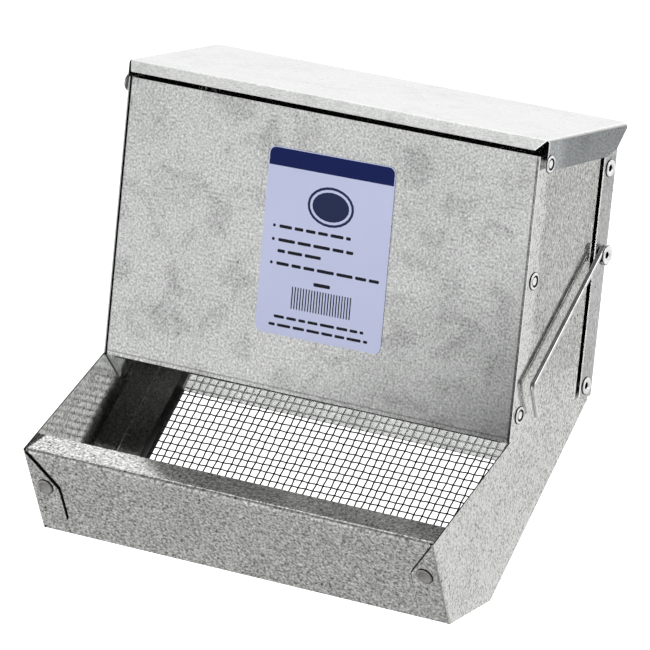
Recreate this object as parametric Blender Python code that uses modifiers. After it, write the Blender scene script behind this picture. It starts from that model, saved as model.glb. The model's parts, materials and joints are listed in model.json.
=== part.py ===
"""Hutch-wall gravity feeder in folded galvanised sheet.

A narrow hopper with a hinged lid stands over a sloped woven-wire floor. Feed runs down
to a trough in front, and dust sifts out through the wire. Two wire hooks hold it to a
cage. The frame's origin is on the hopper's front face, on the middle line: +X to the
right, +Y to the back, +Z up. Sizes below are in millimetres.
"""

import math

import bmesh
import bpy
from mathutils import Matrix, Vector

MM = 0.001

# Side profiles are laid out as (y, z) from the trough's lowest front edge. The datum is
# the frame's origin in that layout.
DATUM_Y = 33.2
DATUM_Z = 75.0

# Sheet, folds and clearances.
SHEET = 0.5
HALF_SHEET = SHEET / 2
GAP = 0.3
WRAP_GAP = 0.75
BEND = 0.8
BEND_STEPS = 4
SHARP = math.radians(35)

# Side profile.
HALF_WIDTH = 89.0
RIM_FRONT = (-19.8, 33.2)
TROUGH_BOTTOM = (0.0, 0.0)
SLOPE_FOOT = (31.7, 3.8)
BACK_FOOT = (93.0, 70.0)
FRONT_Y = DATUM_Y
RIM_BACK_Z = 63.7
FRONT_TOP_Z = 171.5
SIDE_TOP_Z = 176.5

# Middle planes of the stacked sheets, from the inside out.
INSET = SHEET + GAP + HALF_SHEET
FRONT_X = HALF_WIDTH - INSET
SIDE_X = HALF_WIDTH - HALF_SHEET
WRAP_X = HALF_WIDTH + WRAP_GAP + HALF_SHEET
EAR_X = WRAP_X + SHEET + GAP
BACK_Y = BACK_FOOT[0] + GAP + HALF_SHEET

# Side panel's tab over the trough front as (x, distance down the face), and its flange
# under the floor.
TAB_ROOT = (1.4, 37.6)
TAB = ((77.8, 15.3), (76.9, 16.7), (76.6, 19.0), (76.5, 31.8), (82.5, 35.4))
FLOOR_FLANGE_X = 73.5
FLOOR_FLANGE_SPAN = (4.0, 84.0)

# Hopper front.
FRONT_FLANGE = 12.0
FRONT_LOW_Z = 63.3
FRONT_FLANGE_LOW_Z = 52.5
HEM_R = 0.55
HEM = 5.0
HEM_STEPS = 6
FRONT_HEM_LOW_Z = 62.7
FRONT_HEM_BEAD = 1.3
FRONT_HEM_PROUD = 0.15
FRONT_HEM_HALF = 84.0
HEM_RELIEF = 0.4

# Hopper back.
WRAP_FRONT_Y = 84.0
WRAP_LOW_Z = (72.6, 73.3)
BACK_TOP_Z = 176.5
SLOPE_SHEET_HALF = 76.3
SLOPE_SHEET_END = 57.0
SLOPE_BEND = 1.5

# Trough front.
TROUGH_HALF = HALF_WIDTH - SHEET - GAP
TROUGH_LIP_BEND = 1.4
BASE_DROP = 0.65
LIP = 11.5
LIP_ANGLE = math.radians(22)
UPTURN = 9.0

# Screen: a flat grille stands for the woven wire, with its folded edge strips.
SCREEN_HALF = 73.4
SCREEN_EDGE = 3.2
SCREEN_SPAN = (3.0, 72.0)
SCREEN_THICK = 1.1
SCREEN_CELLS = (12, 6)
SCREEN_BAR = 1.0

# Lid.
LID_Z = 177.45
LID_FRONT_Y = 34.95
LID_REAR_Y = 99.6
LID_BEND = 1.2
LIP_BEND = 1.2
LIP_TIP = (31.25, 173.95)
LIP_ROOT_HALF = 89.5
LIP_TIP_HALF = 87.2
EAR_BEND_FRONT_Y = 35.8
EAR_REAR_Y = 97.8
EAR_LOW = ((35.4, 165.9), (83.2, 166.4), (91.1, 168.7), (97.8, 176.0))
LID_HEM_HALF = 87.5

# Wire hooks.
WIRE_R = 1.1
HOOK_PIVOT = (88.6, 128.5)
WIRE_X = 91.7
EYE_R = 2.9
EYE_WRAP = 278.0
EYE_STEPS = 24
RUN_END = (40.7, 84.5)
TAIL_END = (46.8, 72.3)
HOOK_BEND = 2.2

# Rivets.
RIVET_STEPS = 16
RIVET_LIFT = 0.1
SHANK_R = 1.5
HOLE_R = 1.65
HOLE_DEPTH = 9.0
HEAD_R = 3.25
HOOK_HEAD_R = 3.6
HEAD_T = 0.5
TAIL_R = 2.3
TAIL_T = 0.9
FRONT_RIVETS = {"mid": (38.3, 124.2), "low": (38.1, 73.4)}
BACK_RIVETS = {"top": (88.6, 161.4), "low": (88.3, 77.7)}
HINGE = (37.3, 168.7)
TAB_RIVET = (82.5, 16.7)

# Label and record-card holder.
LABEL_SIZE = (54.6, 71.4)
LABEL_CENTRE = (3.1, 121.0)
LABEL_TURN = 0.8
LABEL_CORNER = 3.0
LABEL_T = 0.2
LABEL_LIFT = 0.1
CARD_HALF = 31.0
CARD_STEP = 1.6
CARD_BEND = 0.5
CARD_EAR = 8.0
CARD_Z = (100.0, 138.0)
CARD_RIVET_X = CARD_HALF + 4.4
CARD_RIVET_Z = 119.0
THUMB_R = 11.0
THUMB_DEPTH = 7.0


def at(x, y, z):
    """A layout point as a point of the frame, in metres."""
    return Vector((x, y - DATUM_Y, z - DATUM_Z)) * MM


def unit(start, end):
    length = math.dist(start, end)
    return ((end[0] - start[0]) / length, (end[1] - start[1]) / length)


class Line:
    """A straight edge of the side profile, with its inward side on the left."""

    def __init__(self, start, end):
        self.start = start
        self.along = unit(start, end)
        self.inward = (-self.along[1], self.along[0])

    def point(self, along, inset=0.0):
        return tuple(
            s + a * along + n * inset
            for s, a, n in zip(self.start, self.along, self.inward)
        )

    def meet(self, other, inset=0.0, other_inset=0.0):
        """Where this line meets another, each moved inwards by its inset."""
        p, d = self.point(0, inset), self.along
        q, e = other.point(0, other_inset), other.along
        cross = d[0] * e[1] - d[1] * e[0]
        reach = ((q[0] - p[0]) * e[1] - (q[1] - p[1]) * e[0]) / cross
        return (p[0] + d[0] * reach, p[1] + d[1] * reach)


RIM = Line((FRONT_Y, RIM_BACK_Z), RIM_FRONT)
FACE = Line(RIM_FRONT, TROUGH_BOTTOM)
BASE = Line(TROUGH_BOTTOM, SLOPE_FOOT)
SLOPE = Line(SLOPE_FOOT, BACK_FOOT)
REAR = Line(BACK_FOOT, (BACK_FOOT[0], SIDE_TOP_Z))
FACE_OUT = (0.0, -FACE.inward[0], -FACE.inward[1])


def rounded(path, radius, steps=BEND_STEPS):
    """The path with each inner corner turned into an arc."""
    out = [path[0]]
    for before, corner, after in zip(path, path[1:], path[2:]):
        a = unit(corner, before)
        b = unit(corner, after)
        half = math.acos(a[0] * b[0] + a[1] * b[1]) / 2
        to_centre = unit((0, 0), (a[0] + b[0], a[1] + b[1]))
        centre = [c + t * radius / math.sin(half) for c, t in zip(corner, to_centre)]
        touch = [c + v * radius / math.tan(half) for c, v in zip(corner, a)]
        first = math.atan2(touch[1] - centre[1], touch[0] - centre[0])
        turns_left = a[0] * b[1] - a[1] * b[0] < 0
        sweep = (math.pi - 2 * half) * (1 if turns_left else -1)
        for step in range(steps + 1):
            angle = first + sweep * step / steps
            x = centre[0] + radius * math.cos(angle)
            out.append((x, centre[1] + radius * math.sin(angle)))
    out.append(path[-1])
    return out


def collection(name):
    made = bpy.data.collections.new(name)
    bpy.context.scene.collection.children.link(made)
    return made


def material(name, colour, metallic, roughness):
    made = bpy.data.materials.new(name)
    made.use_nodes = True
    shader = made.node_tree.nodes["Principled BSDF"]
    shader.inputs["Base Color"].default_value = (*colour, 1.0)
    shader.inputs["Metallic"].default_value = metallic
    shader.inputs["Roughness"].default_value = roughness
    return made


def zinc(name, value, roughness):
    return material(name + "_zinc", (value, value, value * 0.985), 0.9, roughness)


def add_object(name, data, finish):
    obj = bpy.data.objects.new(name, data)
    PARTS.objects.link(obj)
    data.materials.append(finish)
    return obj


def mesh_from(name, shape):
    data = bpy.data.meshes.new(name)
    shape.to_mesh(data)
    shape.free()
    return data


def facing(axis):
    """The rotation that turns +Z along an axis."""
    return Vector(axis).to_track_quat("Z", "Y")


class Sheet:
    """The middle surface of one folded sheet, which Solidify gives its thickness."""

    def __init__(self):
        self.shape = bmesh.new()

    def panel(self, corners):
        self.shape.faces.new([self.shape.verts.new(p) for p in corners])

    def fold(self, first, second):
        """A strip of faces between two rows of points."""
        for a, b, c, d in zip(first, first[1:], second[1:], second):
            self.panel([a, b, c, d])

    def build(self, name, finish, holes=()):
        weld = 0.01 * MM
        bmesh.ops.remove_doubles(self.shape, verts=self.shape.verts, dist=weld)
        bmesh.ops.recalc_face_normals(self.shape, faces=self.shape.faces)
        obj = add_object(name, mesh_from(name, self.shape), finish)
        obj.data.shade_smooth()
        obj.data.set_sharp_from_angle(angle=SHARP)
        thick = obj.modifiers.new("sheet", "SOLIDIFY")
        thick.thickness = SHEET * MM
        thick.offset = 0.0
        thick.use_even_offset = True
        if holes:
            cut(obj, holes)
        return obj


def cut(obj, holes):
    """Rivet holes through an object, one for each (centre, axis)."""
    shape = bmesh.new()
    for centre, axis in holes:
        place = Matrix.Translation(centre) @ facing(axis).to_matrix().to_4x4()
        bmesh.ops.create_cone(
            shape,
            cap_ends=True,
            segments=RIVET_STEPS,
            radius1=HOLE_R * MM,
            radius2=HOLE_R * MM,
            depth=HOLE_DEPTH * MM,
            matrix=place,
        )
    name = obj.name + "_holes"
    cutter = bpy.data.objects.new(name, mesh_from(name, shape))
    CUTTERS.objects.link(cutter)
    cutter.hide_render = True
    cutter.display_type = "WIRE"
    hole = obj.modifiers.new("holes", "BOOLEAN")
    hole.operation = "DIFFERENCE"
    hole.solver = "EXACT"
    hole.object = cutter


def side_holes(x, places):
    """Holes along X through both sides of the feeder, or through one of them."""
    sides = (x,) if x < 0 else (x, -x)
    return [(at(s, *yz), (1, 0, 0)) for s in sides for yz in places]


def hem(edge, inside, low, direction):
    """A closed fold from an edge point: half a turn inwards, then back along the sheet."""
    out = [edge]
    for step in range(1, HEM_STEPS + 1):
        angle = math.pi * step / HEM_STEPS
        across = HEM_R * (1 - math.cos(angle))
        past = HEM_R * math.sin(angle)
        out.append(tuple(e + i * across + d * past for e, i, d in zip(edge, inside, direction)))
    end = out[-1]
    out.append(tuple(e - d * low for e, d in zip(end, direction)))
    return out


def side_panel(name, side, finish):
    """A side wall with its tab over the trough front and its flange under the floor."""
    sheet = Sheet()
    face_rows = []
    slope_rows = []
    for step in range(BEND_STEPS + 1):
        angle = math.pi / 2 * step / BEND_STEPS
        x = side * (SIDE_X - BEND + BEND * math.cos(angle))
        depth = HALF_SHEET + BEND - BEND * math.sin(angle)
        ends = (FACE.meet(RIM, depth), FACE.meet(BASE, depth))
        face_rows.append([at(x, *end) for end in ends])
        ends = (SLOPE.meet(BASE, depth), SLOPE.meet(REAR, depth))
        slope_rows.append([at(x, *end) for end in ends])
    wall_x = side * SIDE_X
    upper = (
        (BACK_FOOT[0], SIDE_TOP_Z),
        (HINGE[0], SIDE_TOP_Z),
        (FRONT_Y, FRONT_TOP_Z),
        (FRONT_Y, RIM_BACK_Z),
    )
    wall = face_rows[0] + slope_rows[0] + [at(wall_x, *p) for p in upper]
    sheet.panel(wall)
    for rows in (face_rows, slope_rows):
        for low, high in zip(rows[:-2], rows[1:-1]):
            sheet.fold(low, high)
    fold_x = side * (SIDE_X - BEND)
    root = [at(fold_x, *FACE.point(s, HALF_SHEET)) for s in TAB_ROOT]
    tab = [at(side * x, *FACE.point(s, HALF_SHEET)) for x, s in TAB]
    sheet.panel([*face_rows[-2], face_rows[-1][1], root[1], root[0], face_rows[-1][0]])
    sheet.panel([root[0], *tab, root[1]])
    root = [at(fold_x, *SLOPE.point(s, HALF_SHEET)) for s in FLOOR_FLANGE_SPAN]
    flange_x = side * FLOOR_FLANGE_X
    edge = [at(flange_x, *SLOPE.point(s, HALF_SHEET)) for s in FLOOR_FLANGE_SPAN]
    sheet.panel([*slope_rows[-2], slope_rows[-1][1], root[1], root[0], slope_rows[-1][0]])
    sheet.panel([root[0], edge[0], edge[1], root[1]])
    places = [*FRONT_RIVETS.values(), *BACK_RIVETS.values(), HINGE, HOOK_PIVOT]
    holes = [(at(wall_x, *yz), (1, 0, 0)) for yz in places]
    holes.append((tab_rivet_place(side), FACE_OUT))
    return sheet.build(name, finish, holes)


def hopper_front(finish):
    """The front wall with its two side flanges and its hemmed lower edge."""
    y = FRONT_Y + HALF_SHEET
    rear = FRONT_Y + FRONT_FLANGE
    plan = rounded([(-FRONT_X, rear), (-FRONT_X, y), (FRONT_X, y), (FRONT_X, rear)], BEND)
    drop = (FRONT_LOW_Z - FRONT_FLANGE_LOW_Z) / (rear - y)
    low = [at(px, py, FRONT_LOW_Z - drop * (py - y)) for px, py in plan]
    high = [at(px, py, FRONT_TOP_Z) for px, py in plan]
    half = len(plan) // 2
    sheet = Sheet()
    sheet.fold(low[:half], high[:half])
    sheet.fold(low[half:], high[half:])
    hem_z = FRONT_HEM_LOW_Z + HEM_R + HALF_SHEET
    bead = (y, hem_z + FRONT_HEM_BEAD)
    hem_root = [at(s * FRONT_HEM_HALF, *bead) for s in (-1, 1)]
    relief_x = FRONT_HEM_HALF + HEM_RELIEF
    relief = [at(s * relief_x, y, FRONT_LOW_Z) for s in (-1, 1)]
    lower_edge = [low[half - 1], relief[0], *hem_root, relief[1], low[half]]
    sheet.panel([high[half - 1], *lower_edge, high[half]])
    profile = [bead, *hem((y - FRONT_HEM_PROUD, hem_z), (1, 0), HEM, (0, -1))]
    sides = [[at(s * FRONT_HEM_HALF, *p) for p in profile] for s in (-1, 1)]
    sheet.fold(*sides)
    holes = side_holes(FRONT_X, [*FRONT_RIVETS.values(), HINGE])
    return sheet.build("hopper_front", finish, holes)


def hopper_back(finish):
    """The back wall, its flanges round the side walls and its start of the slope."""
    front = WRAP_FRONT_Y
    plan = rounded([(-WRAP_X, front), (-WRAP_X, BACK_Y), (WRAP_X, BACK_Y), (WRAP_X, front)], BEND)
    rise = (WRAP_LOW_Z[1] - WRAP_LOW_Z[0]) / (BACK_Y - front)
    low = [at(px, py, WRAP_LOW_Z[0] + rise * (py - front)) for px, py in plan]
    high = [at(px, py, BACK_TOP_Z) for px, py in plan]
    half = len(plan) // 2
    corner = SLOPE.meet(REAR, INSET, BACK_FOOT[0] - BACK_Y)
    path = [(BACK_Y, BACK_TOP_Z), corner, SLOPE.point(SLOPE_SHEET_END, INSET)]
    slope = rounded(path, SLOPE_BEND)[1:]
    wide = SLOPE_SHEET_HALF
    sides = [[at(s * wide, *p) for p in slope] for s in (-1, 1)]
    relief = [at(s * wide, BACK_Y, WRAP_LOW_Z[1]) for s in (-1, 1)]
    sheet = Sheet()
    sheet.fold(low[:half], high[:half])
    sheet.fold(low[half:], high[half:])
    lower_edge = [low[half - 1], relief[0], sides[0][0], sides[1][0], relief[1], low[half]]
    sheet.panel([high[half - 1], *lower_edge, high[half]])
    sheet.fold(*sides)
    holes = side_holes(WRAP_X, [*BACK_RIVETS.values(), HOOK_PIVOT])
    holes += [(card_rivet_place(s), (0, 1, 0)) for s in (-1, 1)]
    return sheet.build("hopper_back", finish, holes)


def trough_front(finish):
    """The trough's front wall with its turned-in lip, its short base and its upturn."""
    lip_inset = GAP + HALF_SHEET
    face_top = FACE.meet(RIM, INSET, lip_inset)
    lip_along = (math.cos(LIP_ANGLE), math.sin(LIP_ANGLE))
    lip_end = tuple(c + d * LIP for c, d in zip(face_top, lip_along))
    path = [
        lip_end,
        face_top,
        FACE.meet(BASE, INSET, HALF_SHEET - BASE_DROP),
        BASE.meet(SLOPE, HALF_SHEET - BASE_DROP, INSET),
        SLOPE.point(UPTURN, INSET),
    ]
    lip_fold = rounded(path[:3], TROUGH_LIP_BEND)[:-1]
    profile = lip_fold + rounded(path[1:], BEND)[1:]
    sheet = Sheet()
    sheet.fold(*[[at(s * TROUGH_HALF, *p) for p in profile] for s in (-1, 1)])
    holes = [(tab_rivet_place(s), FACE_OUT) for s in (-1, 1)]
    return sheet.build("trough_front", finish, holes)


def sifter_screen(finish):
    """The woven-wire floor as a flat grille with its side strips."""
    cells, rows = SCREEN_CELLS
    length = SCREEN_SPAN[1] - SCREEN_SPAN[0]
    size = Matrix.Diagonal((SCREEN_HALF * 2 * MM, length * MM, 1, 1))
    shape = bmesh.new()
    bmesh.ops.create_grid(shape, x_segments=cells, y_segments=rows, size=0.5, matrix=size)
    open_cells = list(shape.faces)
    bmesh.ops.inset_individual(shape, faces=open_cells, thickness=SCREEN_BAR / 2 * MM)
    bmesh.ops.delete(shape, geom=open_cells, context="FACES")
    for side in (-1, 1):
        rim = [e for e in shape.edges if all(on_edge(v, side) for v in e.verts)]
        strip = bmesh.ops.extrude_edge_only(shape, edges=rim)["geom"]
        moved = [v for v in strip if isinstance(v, bmesh.types.BMVert)]
        bmesh.ops.translate(shape, verts=moved, vec=(side * SCREEN_EDGE * MM, 0, 0))
    bmesh.ops.recalc_face_normals(shape, faces=shape.faces)
    obj = add_object("sifter_screen", mesh_from("sifter_screen", shape), finish)
    depth = 2 * (SHEET + GAP) + SCREEN_THICK / 2
    obj.location = at(0, *SLOPE.point(sum(SCREEN_SPAN) / 2, depth))
    obj.rotation_euler.x = math.atan2(SLOPE.along[1], SLOPE.along[0])
    thick = obj.modifiers.new("thickness", "SOLIDIFY")
    thick.thickness = SCREEN_THICK * MM
    thick.offset = 0.0
    return obj


def on_edge(vertex, side):
    return abs(vertex.co.x - side * SCREEN_HALF * MM) < 0.01 * MM


def lid_sheet(finish):
    """The lid with its front lip, its side ears and its hemmed rear edge."""
    side_x = EAR_X - LID_BEND
    path = [(LID_REAR_Y, LID_Z), (LID_FRONT_Y, LID_Z), LIP_TIP]
    lip = rounded(path, LIP_BEND)[1:]
    halves = [LIP_ROOT_HALF] * (len(lip) - 1) + [LIP_TIP_HALF]
    lips = [[at(s * h, *p) for h, p in zip(halves, lip)] for s in (-1, 1)]
    rear = hem((LID_REAR_Y, LID_Z), (0, -1), HEM, (1, 0))
    hems = [[at(s * LID_HEM_HALF, *p) for p in rear] for s in (-1, 1)]
    stations = (EAR_BEND_FRONT_Y, EAR_REAR_Y, LID_REAR_Y)
    right = [at(side_x, y, LID_Z) for y in stations]
    left = [at(-side_x, y, LID_Z) for y in reversed(stations)]
    sheet = Sheet()
    sheet.panel([lips[0][0], lips[1][0], *right, hems[1][0], hems[0][0], *left])
    sheet.fold(*lips)
    sheet.fold(*hems)
    for side in (-1, 1):
        fold = []
        for step in range(BEND_STEPS + 1):
            angle = math.pi / 2 * step / BEND_STEPS
            x = side * (side_x + LID_BEND * math.sin(angle))
            z = LID_Z - LID_BEND + LID_BEND * math.cos(angle)
            fold.append([at(x, y, z) for y in stations[:2]])
        sheet.fold([row[0] for row in fold], [row[1] for row in fold])
        lower = [at(side * EAR_X, *p) for p in EAR_LOW]
        sheet.panel([fold[-1][0], *lower, fold[-1][1]])
    return sheet.build("lid", finish, side_holes(EAR_X, [HINGE]))


def wire_hook(name, side):
    """A wire with an open eye on the pivot rivet, a straight run and a bent tail."""
    reach = math.dist(HOOK_PIVOT, RUN_END)
    towards = math.atan2(RUN_END[1] - HOOK_PIVOT[1], RUN_END[0] - HOOK_PIVOT[0])
    leave = towards - math.acos(EYE_R / reach)
    eye = []
    for step in range(EYE_STEPS + 1):
        angle = leave - math.radians(EYE_WRAP) * (1 - step / EYE_STEPS)
        y = HOOK_PIVOT[0] + EYE_R * math.cos(angle)
        eye.append((y, HOOK_PIVOT[1] + EYE_R * math.sin(angle)))
    bend = rounded([eye[-1], RUN_END, TAIL_END], HOOK_BEND)[1:]
    points = [at(side * WIRE_X, *p) for p in eye + bend]
    centre = at(side * WIRE_X, *HOOK_PIVOT)
    curve = bpy.data.curves.new(name, "CURVE")
    curve.dimensions = "3D"
    curve.bevel_depth = WIRE_R * MM
    curve.bevel_resolution = 2
    curve.use_fill_caps = True
    spline = curve.splines.new("POLY")
    spline.points.add(len(points) - 1)
    for knot, point in zip(spline.points, points):
        knot.co = (*(point - centre), 1.0)
    obj = add_object(name, curve, material(name + "_wire", (0.7, 0.71, 0.72), 1.0, 0.22))
    obj.parent = hinge_empty(name + "_pivot", centre)
    return obj


def hinge_empty(name, place):
    """An empty on a joint's axis, which the moving piece hangs under."""
    empty = bpy.data.objects.new(name, None)
    empty.empty_display_size = 10 * MM
    empty.location = place
    PARTS.objects.link(empty)
    return empty


def label(finish):
    """A thin sticker with rounded corners on the hopper's front."""
    half = [size / 2 - LABEL_CORNER for size in LABEL_SIZE]
    curve = bpy.data.curves.new("label", "CURVE")
    curve.dimensions = "2D"
    curve.fill_mode = "BOTH"
    curve.extrude = LABEL_T / 2 * MM
    spline = curve.splines.new("POLY")
    spline.points.add(4 * (BEND_STEPS + 1) - 1)
    corners = ((1, 1), (-1, 1), (-1, -1), (1, -1))
    for index, knot in enumerate(spline.points):
        quarter, step = divmod(index, BEND_STEPS + 1)
        angle = math.pi / 2 * (quarter + step / BEND_STEPS)
        x = corners[quarter][0] * half[0] + LABEL_CORNER * math.cos(angle)
        z = corners[quarter][1] * half[1] + LABEL_CORNER * math.sin(angle)
        knot.co = (x * MM, z * MM, 0.0, 1.0)
    spline.use_cyclic_u = True
    obj = add_object("label", curve, finish)
    middle = FRONT_Y - LABEL_LIFT - LABEL_T / 2
    obj.location = at(LABEL_CENTRE[0], middle, LABEL_CENTRE[1])
    obj.rotation_euler = (math.pi / 2, math.radians(-LABEL_TURN), 0)
    return obj


def card_holder(finish):
    """A shallow pocket on the hopper's back for a record card, open at the top."""
    near = BACK_Y + SHEET + GAP
    far = near + CARD_STEP
    edge = CARD_HALF + CARD_EAR
    outer = [(-edge, near), (-CARD_HALF, near), (-CARD_HALF, far)]
    path = outer + [(-x, y) for x, y in reversed(outer)]
    plan = rounded(path, CARD_BEND)
    low, high = CARD_Z
    sheet = Sheet()
    half = len(plan) // 2
    for part in (plan[:half], plan[half:]):
        sheet.fold([at(*p, low) for p in part], [at(*p, high) for p in part])
    flat = plan[half][0]
    thumb = []
    for step in range(2 * BEND_STEPS + 1):
        angle = math.pi * step / (2 * BEND_STEPS)
        z = high - THUMB_DEPTH * math.sin(angle)
        thumb.append(at(THUMB_R * math.cos(angle), far, z))
    ledge_path = rounded([(far, high), (far, low - CARD_BEND), (near, low - CARD_BEND)], CARD_BEND)
    ledge_half = flat - 1.0
    ledges = [[at(s * ledge_half, *p) for p in ledge_path[1:]] for s in (-1, 1)]
    foot = [at(-flat, far, low), ledges[0][0], ledges[1][0], at(flat, far, low)]
    sheet.panel([at(-flat, far, high), *foot, at(flat, far, high), *thumb])
    sheet.fold(*ledges)
    holes = [(card_rivet_place(s), (0, 1, 0)) for s in (-1, 1)]
    return sheet.build("card_holder", finish, holes)


def tab_rivet_place(side):
    return at(side * TAB_RIVET[0], *FACE.point(TAB_RIVET[1]))


def card_rivet_place(side):
    return at(side * CARD_RIVET_X, BACK_Y + SHEET + GAP + HALF_SHEET, CARD_RIVET_Z)


def rivet(name, place, axis, grip, head_r=HEAD_R):
    """A turned rivet with its head over the outer face and its tail inside.

    The place is on the outer face, the axis points out and grip is the stack's depth.
    """
    inside = -grip - RIVET_LIFT
    head = RIVET_LIFT + HEAD_T
    profile = (
        (0.0, head - 0.25),
        (head_r - 1.0, head - 0.05),
        (head_r - 0.3, head),
        (head_r, head - 0.3),
        (head_r, RIVET_LIFT),
        (SHANK_R, RIVET_LIFT),
        (SHANK_R, inside),
        (TAIL_R, inside),
        (TAIL_R, inside - TAIL_T * 0.6),
        (TAIL_R * 0.8, inside - TAIL_T),
        (0.0, inside - TAIL_T),
    )
    shape = bmesh.new()
    verts = [shape.verts.new((x * MM, 0, z * MM)) for x, z in profile]
    for upper, lower in zip(verts, verts[1:]):
        shape.edges.new((upper, lower))
    steel = material(name + "_steel", (0.55, 0.55, 0.54), 1.0, 0.35)
    obj = add_object(name, mesh_from(name, shape), steel)
    obj.location = place
    obj.rotation_euler = facing(axis).to_euler()
    turned = obj.modifiers.new("turned", "SCREW")
    turned.steps = RIVET_STEPS
    turned.render_steps = RIVET_STEPS
    turned.use_merge_vertices = True
    turned.merge_threshold = 0.01 * MM
    turned.use_smooth_shade = True


def side_rivets(side, word):
    """The rivets on one side of the feeder."""
    out = (side, 0, 0)
    wrap_face = WRAP_X + HALF_SHEET
    ear_face = EAR_X + HALF_SHEET
    eye_face = WIRE_X + WIRE_R
    wall_in = HALF_WIDTH - SHEET
    flange_in = FRONT_X - HALF_SHEET
    for level, yz in FRONT_RIVETS.items():
        name = f"rivet_front_{level}_{word}"
        rivet(name, at(side * HALF_WIDTH, *yz), out, HALF_WIDTH - flange_in)
    for level, yz in BACK_RIVETS.items():
        name = f"rivet_back_{level}_{word}"
        rivet(name, at(side * wrap_face, *yz), out, wrap_face - wall_in)
    hinge_place = at(side * ear_face, *HINGE)
    rivet(f"rivet_hinge_{word}", hinge_place, out, ear_face - flange_in)
    hook_place = at(side * eye_face, *HOOK_PIVOT)
    rivet(f"rivet_hook_{word}", hook_place, out, eye_face - wall_in, HOOK_HEAD_R)
    two_sheets = 2 * SHEET + GAP
    rivet(f"rivet_tab_{word}", tab_rivet_place(side), FACE_OUT, two_sheets)
    rivet(f"rivet_card_{word}", card_rivet_place(side), (0, 1, 0), two_sheets)


for item in list(bpy.data.objects):
    bpy.data.objects.remove(item, do_unlink=True)

PARTS = collection("hutch_feeder")
CUTTERS = collection("cutters")
CUTTERS.hide_render = True


hopper_front(zinc("front", 0.66, 0.44))
hopper_back(zinc("back", 0.62, 0.44))
trough_front(zinc("trough", 0.58, 0.46))
card_holder(zinc("card", 0.62, 0.44))
sifter_screen(material("screen_wire", (0.35, 0.36, 0.36), 1.0, 0.4))
label(material("label_stock", (0.62, 0.65, 0.85), 0.0, 0.45))

lid = lid_sheet(zinc("lid", 0.72, 0.42))
lid.parent = hinge_empty("lid_hinge", at(0, *HINGE))
lid.matrix_parent_inverse = Matrix.Translation(-lid.parent.location)

for side, word in ((-1, "left"), (1, "right")):
    side_panel(f"side_panel_{word}", side, zinc("side_" + word, 0.62, 0.42))
    wire_hook(f"wire_hook_{word}", side)
    side_rivets(side, word)
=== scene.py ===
"""Looks of a hutch feeder in galvanised sheet: screen, rivets, wire hooks, label and zinc."""

import json
import math
import random

import bmesh
import bpy
from mathutils import Matrix, Vector, noise
from mathutils.bvhtree import BVHTree


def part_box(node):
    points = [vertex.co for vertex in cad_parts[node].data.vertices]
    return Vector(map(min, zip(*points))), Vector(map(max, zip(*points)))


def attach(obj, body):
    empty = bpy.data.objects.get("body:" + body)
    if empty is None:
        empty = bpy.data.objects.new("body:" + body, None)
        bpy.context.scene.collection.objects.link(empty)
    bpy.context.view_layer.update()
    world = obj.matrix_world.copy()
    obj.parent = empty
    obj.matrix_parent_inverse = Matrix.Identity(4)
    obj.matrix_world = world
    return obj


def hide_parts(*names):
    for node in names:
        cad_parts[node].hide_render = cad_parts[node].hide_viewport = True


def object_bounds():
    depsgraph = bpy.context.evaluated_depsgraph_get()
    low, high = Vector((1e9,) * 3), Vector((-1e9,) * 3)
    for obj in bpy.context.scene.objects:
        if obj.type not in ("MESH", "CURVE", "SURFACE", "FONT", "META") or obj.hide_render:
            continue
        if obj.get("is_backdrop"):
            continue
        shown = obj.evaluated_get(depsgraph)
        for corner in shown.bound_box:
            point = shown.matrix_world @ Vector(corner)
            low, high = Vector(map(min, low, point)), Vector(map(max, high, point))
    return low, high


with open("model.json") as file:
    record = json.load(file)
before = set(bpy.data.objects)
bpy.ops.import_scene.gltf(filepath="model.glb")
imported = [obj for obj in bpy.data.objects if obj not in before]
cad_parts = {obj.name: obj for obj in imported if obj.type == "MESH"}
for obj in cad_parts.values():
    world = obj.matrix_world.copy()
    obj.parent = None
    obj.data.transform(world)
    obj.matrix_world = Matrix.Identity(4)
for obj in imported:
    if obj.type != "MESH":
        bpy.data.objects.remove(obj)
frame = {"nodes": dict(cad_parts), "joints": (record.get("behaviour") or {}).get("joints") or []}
cad_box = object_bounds()

MM = 0.001

# Directions of the folded faces, as the part has them.
RIGHT, BACK, UP = Vector((1, 0, 0)), Vector((0, 1, 0)), Vector((0, 0, 1))
SLOPE_ANGLE = math.atan2(66.2, 61.3)
SLOPE_ALONG = Vector((0, math.cos(SLOPE_ANGLE), math.sin(SLOPE_ANGLE)))
SLOPE_UP = Vector((0, -math.sin(SLOPE_ANGLE), math.cos(SLOPE_ANGLE)))
FACE_OUT = Vector((0, -33.2, -19.8)).normalized()
BROW_OUT = Vector((0, -0.687, 0.727))
HEM_UNDER = Vector((0, -0.6, -0.8))
SAME_WAY = 0.9

# Woven screen: eight wires to the inch, their ends short of the screen's and tucked in its strips.
MESH_PITCH = 3.175 * MM
MESH_WIRE_R = 0.31 * MM
MESH_LIFT = 0.16 * MM
MESH_DRIFT = 0.45 * MM
MESH_STEPS = 6
MESH_SIDES = 6
MESH_SHORT = 0.2 * MM
MESH_TUCK = 0.4 * MM
MESH_EDGE = 3.2 * MM
MESH_EDGE_THICK = 1.1 * MM
MESH_EDGE_ROUND = 0.25 * MM
DRIFT_SCALE = 42
DOWN_SEED, CROSS_SEED = 11, 97
MIN_STEP = 0.1 * MM

# Sheets. The burr is a painted shadow of the gap under a sheet's edge: how far the dark sheared
# edge is drawn out along the sheet under it.
SHEET = 0.5 * MM
SHARP = math.radians(35)
GAP_SHADOW_LEFT, GAP_SHADOW_RIGHT = 0.35 * MM, 0.6 * MM
PROBE = 0.01 * MM
CUT_DEPTH = 1.3 * SHEET
WELD = 0.001 * MM

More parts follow.
